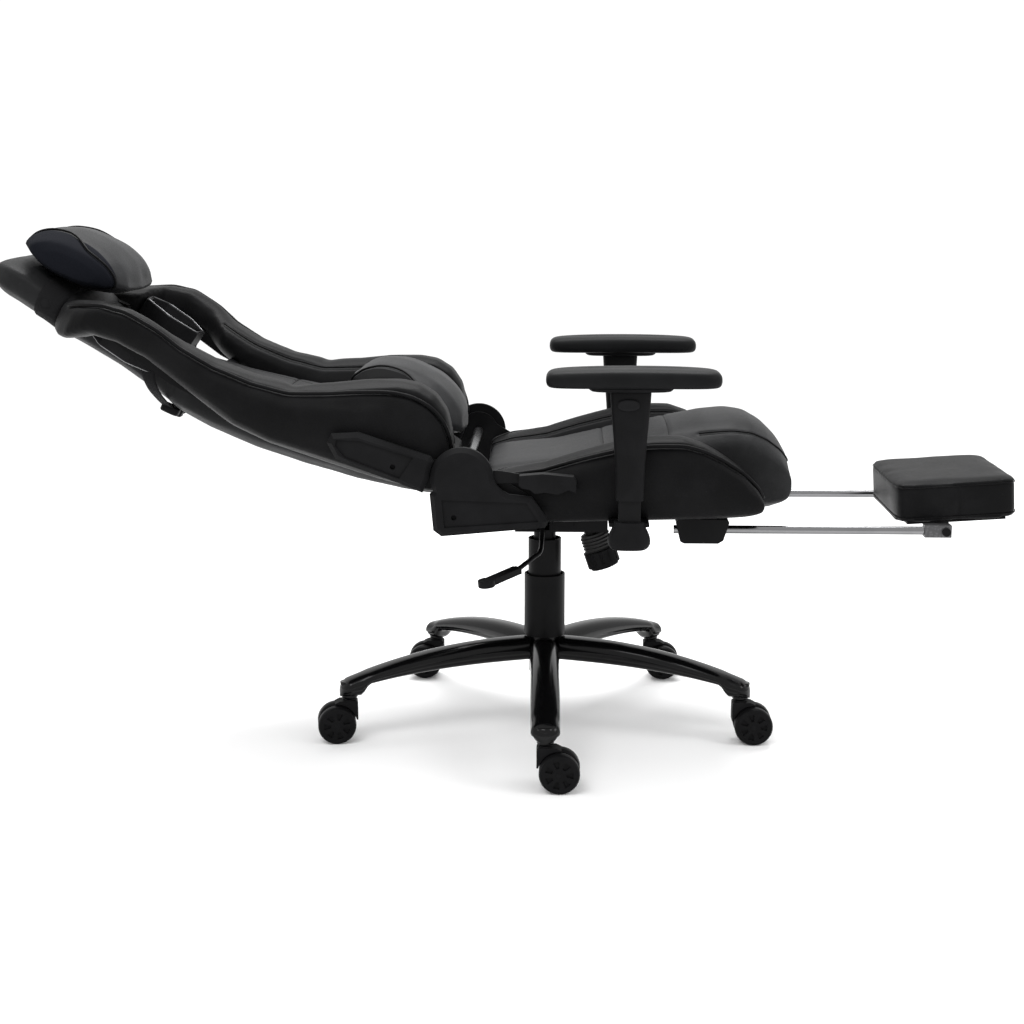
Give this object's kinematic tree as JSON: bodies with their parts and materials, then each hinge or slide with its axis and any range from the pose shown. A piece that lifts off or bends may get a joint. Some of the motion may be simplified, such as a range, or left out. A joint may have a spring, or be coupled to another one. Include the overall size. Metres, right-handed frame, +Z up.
{
  "type": "gaming chair",
  "caption": "Racing-style gaming chair with reclining winged back, height-adjustable arms, sliding flip-out footrest, gas-lift column and castor base, resting in its reclined position.",
  "frame": {"origin": "on the swivel axis at floor level, in the middle of the circle on which the castors stand", "axes": "+X forward, the way the sitter faces, +Y to the sitter's left, +Z up"},
  "size_m": [1.6055, 0.6618, 0.8271],
  "materials": {
    "black_gloss": "gloss black powder paint",
    "black_satin": "satin black paint",
    "bright_steel": "bright drawn steel",
    "chrome": "bright chrome plate",
    "zinc": "zinc-plated steel",
    "black_plastic": "grained black moulding",
    "castor_tread": "smooth black nylon",
    "boot_rubber": "ribbed black rubber",
    "arm_foam": "soft charcoal polyurethane",
    "seat_leather": "charcoal faux leather with a light sheen",
    "side_leather": "black faux leather with piped seams",
    "pillow_leather": "dark grey faux leather with matte side panels",
    "footrest_leather": "black faux leather with sewn seams"
  },
  "bodies": {
    "base": {"base_hub": "black_gloss", "base_leg_1": "black_gloss", "base_leg_2": "black_gloss", "base_leg_3": "black_gloss", "base_leg_4": "black_gloss", "base_leg_5": "black_gloss", "stand_tube": "black_satin", "lower_sleeve": "black_satin"},
    "spindle": {"piston_rod": "bright_steel"},
    "lift": {"gas_cylinder": "bright_steel", "upper_sleeve": "black_satin", "tilt_housing": "black_satin", "tension_spring": "bright_steel", "spring_boot": "boot_rubber", "tilt_pivot_pin": "bright_steel"},
    "valve": {"valve_pin": "bright_steel"},
    "lock_slider": {"tilt_lock_slider": "bright_steel"},
    "height_lever": {"height_lever_rod": "black_satin", "height_lever_grip": "black_plastic"},
    "tension_screw": {"tension_knob": "black_plastic"},
    "seat": {"tilt_plate": "black_satin", "seat_frame": "black_satin", "seat_pad": "seat_leather", "seat_bolster_left": "side_leather", "seat_bolster_right": "side_leather", "recliner_covers": "black_plastic", "recliner_rod": "bright_steel", "arm_brackets": "black_satin", "arm_foot_caps": "black_plastic", "footrest_brackets": "black_satin"},
    "recline_handle": {"recline_lever": "bright_steel", "recline_grip": "black_plastic"},
    "back": {"back_frame": "black_satin", "hinge_arm_covers": "black_plastic", "back_pad": "seat_leather", "back_bolster_left": "side_leather", "back_bolster_right": "side_leather", "belt_bezels": "black_plastic", "lumbar_pillow": "pillow_leather", "head_pillow": "pillow_leather"},
    "arm_left": {"arm_sleeve_left": "black_plastic", "arm_pad_left": "arm_foam"},
    "arm_right": {"arm_sleeve_right": "black_plastic", "arm_pad_right": "arm_foam"},
    "arm_button_left": {"arm_button_left": "black_plastic"},
    "arm_button_right": {"arm_button_right": "black_plastic"},
    "footrest_slide": {"footrest_rods": "chrome", "footrest_clamps": "zinc"},
    "footrest": {"footrest_hinge": "black_satin", "footrest_pad": "footrest_leather"},
    "castor_1": {"castor_yoke_1": "black_plastic"},
    "wheels_1": {"castor_wheels_1": "castor_tread"},
    "castor_2": {"castor_yoke_2": "black_plastic"},
    "wheels_2": {"castor_wheels_2": "castor_tread"},
    "castor_3": {"castor_yoke_3": "black_plastic"},
    "wheels_3": {"castor_wheels_3": "castor_tread"},
    "castor_4": {"castor_yoke_4": "black_plastic"},
    "wheels_4": {"castor_wheels_4": "castor_tread"},
    "castor_5": {"castor_yoke_5": "black_plastic"},
    "wheels_5": {"castor_wheels_5": "castor_tread"}
  },
  "joints": [
    {"name": "swivel", "type": "hinge", "parent": "base", "child": "spindle", "pos_m": [0, 0, 0.09], "axis": [0, 0, 1], "continuous": true},
    {"name": "gas_lift", "type": "slide", "parent": "spindle", "child": "lift", "axis": [0, 0, 1], "range_m": [-0.06, 0.035]},
    {"name": "tilt_lock", "type": "slide", "parent": "lift", "child": "lock_slider", "axis": [0, -1, 0], "range_m": [0, 0.012]},
    {"name": "height_lever_lift", "type": "hinge", "parent": "lock_slider", "child": "height_lever", "pos_m": [-0.003, -0.04, 0.352], "axis": [-1, 0, 0], "range_deg": [0, 5], "stiffness_Nm_per_rad": 4, "springref_deg": -5.73},
    {"name": "valve_press", "type": "slide", "parent": "lift", "child": "valve", "axis": [0, 0, -1], "range_m": [0, 0.004]},
    {"name": "tension_turn", "type": "hinge", "parent": "lift", "child": "tension_screw", "pos_m": [0.077, 0, 0.331], "axis": [0.3256, 0, -0.9455], "range_deg": [-1080, 1080]},
    {"name": "seat_rock", "type": "hinge", "parent": "lift", "child": "seat", "pos_m": [0.03, 0, 0.35], "axis": [0, -1, 0], "range_deg": [0, 12], "stiffness_Nm_per_rad": 260, "springref_deg": -22.92},
    {"name": "recline", "type": "hinge", "parent": "seat", "child": "back", "pos_m": [-0.12, 0, 0.455], "axis": [0, 1, 0], "range_deg": [0, 65]},
    {"name": "recline_pull", "type": "hinge", "parent": "seat", "child": "recline_handle", "pos_m": [-0.12, -0.247, 0.455], "axis": [0, -1, 0], "range_deg": [0, 25], "stiffness_Nm_per_rad": 1.5, "springref_deg": -22.92},
    {"name": "arm_height_left", "type": "slide", "parent": "seat", "child": "arm_left", "axis": [0, 0, 1], "range_m": [-0.02, 0.05]},
    {"name": "arm_height_right", "type": "slide", "parent": "seat", "child": "arm_right", "axis": [0, 0, 1], "range_m": [-0.02, 0.05]},
    {"name": "arm_button_left_press", "type": "slide", "parent": "arm_left", "child": "arm_button_left", "axis": [0, -1, 0], "range_m": [0, 0.003], "stiffness_N_per_m": 400, "springref_m": -0.002},
    {"name": "arm_button_right_press", "type": "slide", "parent": "arm_right", "child": "arm_button_right", "axis": [0, 1, 0], "range_m": [0, 0.003], "stiffness_N_per_m": 400, "springref_m": -0.002},
    {"name": "footrest_slide", "type": "slide", "parent": "seat", "child": "footrest_slide", "axis": [1, 0, 0], "range_m": [-0.155, 0]},
    {"name": "footrest_flip", "type": "hinge", "parent": "footrest_slide", "child": "footrest", "pos_m": [0.6155, 0, 0.361], "axis": [0, -1, 0], "range_deg": [0, 180]},
    {"name": "castor_swivel_1", "type": "hinge", "parent": "base", "child": "castor_1", "pos_m": [0.00605, -0.32994, 0.07], "axis": [0, 0, 1], "continuous": true},
    {"name": "wheel_roll_1", "type": "hinge", "parent": "castor_1", "child": "wheels_1", "pos_m": [0.02705, -0.32994, 0.0305], "axis": [0, 1, 0], "continuous": true},
    {"name": "castor_swivel_2", "type": "hinge", "parent": "base", "child": "castor_2", "pos_m": [0.31566, -0.09621, 0.07], "axis": [0, 0, 1], "continuous": true},
    {"name": "wheel_roll_2", "type": "hinge", "parent": "castor_2", "child": "wheels_2", "pos_m": [0.33666, -0.09621, 0.0305], "axis": [0, 1, 0], "continuous": true},
    {"name": "castor_swivel_3", "type": "hinge", "parent": "base", "child": "castor_3", "pos_m": [0.18904, 0.27048, 0.07], "axis": [0, 0, 1], "continuous": true},
    {"name": "wheel_roll_3", "type": "hinge", "parent": "castor_3", "child": "wheels_3", "pos_m": [0.21004, 0.27048, 0.0305], "axis": [0, 1, 0], "continuous": true},
    {"name": "castor_swivel_4", "type": "hinge", "parent": "base", "child": "castor_4", "pos_m": [-0.19883, 0.26338, 0.07], "axis": [0, 0, 1], "continuous": true},
    {"name": "wheel_roll_4", "type": "hinge", "parent": "castor_4", "child": "wheels_4", "pos_m": [-0.21983, 0.26338, 0.0305], "axis": [0, -1, 0], "continuous": true},
    {"name": "castor_swivel_5", "type": "hinge", "parent": "base", "child": "castor_5", "pos_m": [-0.31193, -0.10771, 0.07], "axis": [0, 0, 1], "continuous": true},
    {"name": "wheel_roll_5", "type": "hinge", "parent": "castor_5", "child": "wheels_5", "pos_m": [-0.33267, -0.11099, 0.0305], "axis": [0.1564, -0.9877, 0], "continuous": true}
  ],
  "couplings": [
    {"joint": "valve_press", "follows": "height_lever_lift", "m_per_rad": 0.04}
  ]
}
